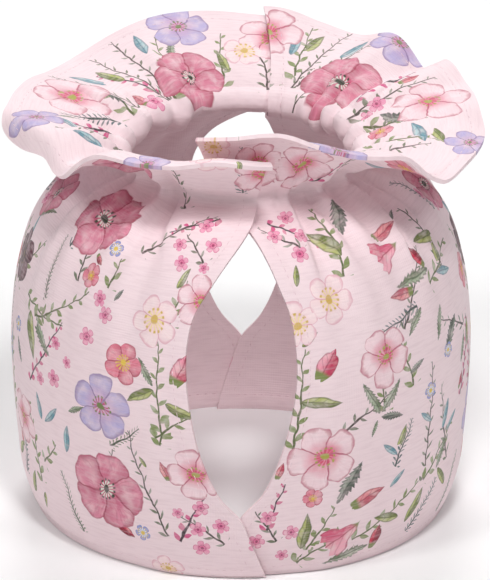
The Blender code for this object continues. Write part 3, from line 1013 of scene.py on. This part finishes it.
def canvas(name, printed):
    """Cotton canvas in plain weave, dyed pale pink and printed by rotary screen: matt, a little
    woolly at a slant, with threads about 0.5 mm apart, drawn at 0.9 mm so that they show."""
    material, add, shader = blank_material(name, 0.72)
    place = add("UVMap", uv_map="cloth")
    place = add("VectorMath MULTIPLY", place, (1000.0, 1000.0, 0.0))
    cloudy = add("TexNoise", named={"Vector": place, "Scale": 0.05, "Detail": 2.0})
    ground = add("MixRGB", cloudy, linear("#f3dadf"), linear("#f8e3e7"))
    if printed:
        wobble = add("TexNoise", named={
            "Vector": place, "Scale": 0.13, "Detail": 2.0, "Roughness": 0.4})
        wobble = wobble.node.outputs["Color"]
        wobble = add("VectorMath SUBTRACT", wobble, (0.5, 0.5, 0.5))
        wash = add("TexNoise", named={"Vector": place, "Scale": 0.2, "Detail": 3.0})
        for layer in ("branch", "sprig"):
            ground = draw_sprigs(add, ground, wobble, wash, layer)
        for look in (LEAF_LOOK, BUD_LOOK):
            ground = draw_leaves(add, ground, wobble, wash, look)
        ground = draw_blooms(add, ground, wobble, wash)
    # Thicker stretches of the weft, some 8 mm long, take up a little more of the dye.
    slub = add("VectorMath MULTIPLY", place, (0.12, 1.0, 0.0))
    slub = add("TexNoise", named={"Vector": slub, "Scale": 1.0, "Detail": 2.0})
    slub = add("MapRange", slub, 0.45, 0.7, 0.0, 0.3)
    ground = add("MixRGB", slub, ground, linear("#dfc3ca"))
    material.node_tree.links.new(ground, shader.inputs["Base Color"])
    material.node_tree.links.new(cloth_bump(add, place), shader.inputs["Normal"])
    shader.inputs["Sheen Weight"].default_value = 0.12
    shader.inputs["Sheen Roughness"].default_value = 0.5
    return material


printed_canvas = canvas("printed_cotton_canvas", True)
plain_reverse = canvas("plain_reverse_of_canvas", False)


def make_piece(name, shape, materials):
    """The finished shape as a smooth piece at the origin."""
    mesh = bpy.data.meshes.new(name)
    shape.to_mesh(mesh)
    shape.free()
    mesh.shade_smooth()
    for material in materials:
        mesh.materials.append(material)
    piece = bpy.data.objects.new(name, mesh)
    bpy.context.scene.collection.objects.link(piece)
    return piece


def sew_half(half, sewn):
    """The half as one closed sheet, printed outside and on both faces of the collar."""
    lines = BODY_LINES + COLLAR_LINES
    shape = bmesh.new()
    bmesh.ops.create_grid(shape, x_segments=COLUMNS, y_segments=lines, size=0.5)
    wound = shape.loops.layers.uv.new("cloth")
    place = {}
    for point in shape.verts:
        column, line = round((point.co.x + 0.5) * COLUMNS), round((point.co.y + 0.5) * lines)
        point.co, bearing, up = sewn.columns[column][line]
        point.co.z = max(point.co.z, HEM_EDGE)
        place[point] = (bearing, up, line)
    if half.back < 0:
        bmesh.ops.reverse_faces(shape, faces=shape.faces)
    for face in shape.faces:
        on_collar = any(place[point][2] > BODY_LINES for point in face.verts)
        face.material_index = 2 if on_collar else 0
        for corner in face.loops:
            bearing, up, line = place[corner.vert]
            corner[wound].uv = (bearing * math.radians(PRINT_RADIUS) * MM, up * MM)
    lay_print(shape, half, place)
    piece = make_piece(half.name, shape, (printed_canvas, plain_reverse, printed_canvas, printed_canvas))
    wall = piece.modifiers.new("cloth_thickness", "SOLIDIFY")
    wall.thickness = THICKNESS
    wall.offset = -1
    wall.material_offset = 1
    fold = piece.modifiers.new("turned_edge", "BEVEL")
    fold.width = EDGE_ROUNDING
    fold.segments = 2
    fold.limit_method = "ANGLE"
    fold.angle_limit = math.radians(60)
    fold.harden_normals = True
    return piece


cloths = {}
layouts = {}
for half, node in ((LEFT, "panel_left"), (RIGHT, "panel_right")):
    layouts[half.name] = Sewn(half)
    cloth = cloths[half.name] = sew_half(half, layouts[half.name])
    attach(cloth, "root")
    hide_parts(node)

# The stitching. One row of lockstitch in pink polyester thread runs along the slit edges, the hem and
# the rim of each half and holds the turnings down. It shows on both faces of the cloth.

# One stitch with its gap, the thread, and how far it sinks in. A stitch line is looked for within so
# many columns or rows of the edge, and it leaves out the last few at its ends.
STITCH_STEP = 3.2 * MM
STITCH_LENGTH = 2.5 * MM
THREAD_WIDTH = 0.36 * MM
THREAD_SINK = 0.08 * MM
SEARCH = 14
END_LINES = 5


def thread(name):
    """Polyester sewing thread, spun from two plies: a little glossy, with its twist 0.6 mm long,
    drawn at 1 mm so that it shows. Its bands of lighter and darker pink along the twist are painted shade
    of the grooves between the plies."""
    material, add, shader = blank_material(name, 0.45)
    place = add("TexCoord").node.outputs["Object"]
    # Painted shade: the twist is drawn as bands of darker and lighter pink, standing for the grooves
    # between the plies.
    twist_groove_shade = add("TexWave", named={"Vector": place, "Scale": 320.0, "Distortion": 1.0},
                bands_direction="DIAGONAL")
    colour = add("MixRGB", twist_groove_shade, linear("#e3c2cb"), linear("#f2d9df"))
    material.node_tree.links.new(colour, shader.inputs["Base Color"])
    shader.inputs["Sheen Weight"].default_value = 0.1
    return material


def step_in(points, inset):
    """The place, in steps from the first point, that lies this far along the points."""
    done = 0.0
    for i, (a, b) in enumerate(zip(points, points[1:])):
        step = (b - a).length
        if done + step >= inset:
            return i + (inset - done) / step
        done += step
    return len(points) - 1


def on_cloth(columns, column, line):
    """The point of the cloth at a column and a line, which may lie between those of the mesh."""
    i, j = min(int(column), COLUMNS - 1), min(int(line), BODY_LINES + COLLAR_LINES - 1)
    near = columns[i][j][0].lerp(columns[i][j + 1][0], line - j)
    far = columns[i + 1][j][0].lerp(columns[i + 1][j + 1][0], line - j)
    return near.lerp(far, column - i)


def seam_paths(columns):
    """The four rows of stitches of a half as columns and lines: both slit edges, the hem, the rim."""
    inset = STITCH_INSET * MM
    top = BODY_LINES + COLLAR_LINES
    front, back, hem, rim = [], [], [], []
    for line in range(END_LINES, top - END_LINES):
        row = [column[line][0] for column in columns]
        front.append((step_in(row[:SEARCH], inset), line))
        back.append((COLUMNS - step_in(row[: -SEARCH - 1 : -1], inset), line))
    for i in range(END_LINES, COLUMNS - END_LINES):
        rise = [found[0] for found in columns[i]]
        hem.append((i, step_in(rise[:SEARCH], inset)))
        rim.append((i, top - step_in(rise[: -SEARCH - 1 : -1], inset)))
    return front, back, hem, rim


def sew_stitches(name, half, columns, material):
    """Every stitch of a half, on both faces of the cloth, as one piece."""
    shape = bmesh.new()
    for path in seam_paths(columns):
        points = [on_cloth(columns, *place) for place in path]
        done, aim = 0.0, STITCH_STEP / 2
        for (a, b), (start, end) in zip(zip(points, points[1:]), zip(path, path[1:])):
            step = (b - a).length
            while done + step > aim:
                share = (aim - done) / step
                column = start[0] + (end[0] - start[0]) * share
                line = start[1] + (end[1] - start[1]) * share
                across = on_cloth(columns, column + 0.5, line) - on_cloth(columns, column - 0.5, line)
                rise = on_cloth(columns, column, line + 0.5) - on_cloth(columns, column, line - 0.5)
                out = rise.cross(across).normalized() * half.side
                along = (b - a).normalized()
                turned = Matrix((along, out.cross(along), out)).transposed().to_4x4()
                size = Matrix.Diagonal((STITCH_LENGTH / 2, THREAD_WIDTH / 2, THREAD_WIDTH / 2, 1))
                for off in (-THREAD_SINK, THREAD_SINK - THICKNESS):
                    laid = Matrix.Translation(a.lerp(b, share) + out * off) @ turned @ size
                    bmesh.ops.create_icosphere(shape, subdivisions=1, radius=1.0, matrix=laid)
                aim += STITCH_STEP
            done += step
    return make_piece(name, shape, [material])


pink_thread = thread("pink_polyester_thread")
for half in (LEFT, RIGHT):
    stitches = sew_stitches(half.name + "_stitches", half, layouts[half.name].columns, pink_thread)
    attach(stitches, "root")

# The floor is a plain white table top, large enough to fill the view behind the cosy.

FLOOR_SIZE = 6.0

floor_shape = bmesh.new()
bmesh.ops.create_grid(floor_shape, x_segments=1, y_segments=1, size=FLOOR_SIZE / 2)
white, _, white_shader = blank_material("white_laminate", 0.9)
white_shader.inputs["Base Color"].default_value = linear("#fbfbfb")
floor = make_piece("floor", floor_shape, [white])

# The camera looks down on the front at 24 degrees from far away, so that the view is nearly flat.

VIEW_CENTRE = Vector((AXIS_X + 1.5 * MM, AXIS_Y, 82 * MM))
VIEW_WIDTH = 181.8 * MM
VIEW_ELEVATION = math.radians(24)
CAMERA_DISTANCE = 5.0
SENSOR_WIDTH = 36.0

camera_data = bpy.data.cameras.new("camera")
camera_data.sensor_fit = "HORIZONTAL"
camera_data.sensor_width = SENSOR_WIDTH
camera_data.lens = SENSOR_WIDTH * CAMERA_DISTANCE / VIEW_WIDTH
camera = bpy.data.objects.new("camera", camera_data)
bpy.context.scene.collection.objects.link(camera)
back_off = Vector((0, -math.cos(VIEW_ELEVATION), math.sin(VIEW_ELEVATION)))
camera.location = VIEW_CENTRE + CAMERA_DISTANCE * back_off
camera.rotation_euler = (math.pi / 2 - VIEW_ELEVATION, 0, 0)
bpy.context.scene.camera = camera

# The light is that of a white studio: faint even light from all round, three soft lamps from above
# that leave the body shaded under the collar, a weak one in front, and one for the floor behind.

Lamp = namedtuple("Lamp", "name place aim size power")
LAMPS = [
    Lamp("overhead_softbox", (0.1, -0.63, 1.35), (0, 0, 0.1), 0.24, 7.4),
    Lamp("left_softbox", (-0.84, -0.75, 1.45), (0, 0, 0.07), 0.4, 7.5),
    Lamp("right_softbox", (0.84, -0.75, 1.45), (0, 0, 0.07), 0.4, 4.9),
    Lamp("front_softbox", (0, -1.6, 0.35), (0, 0, 0.07), 0.9, 1.4),
    Lamp("floor_softbox", (0, 1.5, 1.3), (0, 0.5, 0), 0.9, 20),
]
for lamp in LAMPS:
    light = bpy.data.lights.new(lamp.name, "AREA")
    light.shape = "DISK"
    light.size = lamp.size
    light.energy = lamp.power
    holder = bpy.data.objects.new(lamp.name, light)
    holder.location = lamp.place
    holder.rotation_euler = (Vector(lamp.aim) - Vector(lamp.place)).to_track_quat("-Z", "Y").to_euler()
    bpy.context.scene.collection.objects.link(holder)

world = bpy.data.worlds.new("white_studio")
world.use_nodes = True
world.node_tree.nodes["Background"].inputs["Color"].default_value = linear("#ffffff")
world.node_tree.nodes["Background"].inputs["Strength"].default_value = 0.15
bpy.context.scene.world = world
bpy.context.scene.view_settings.view_transform = "Standard"
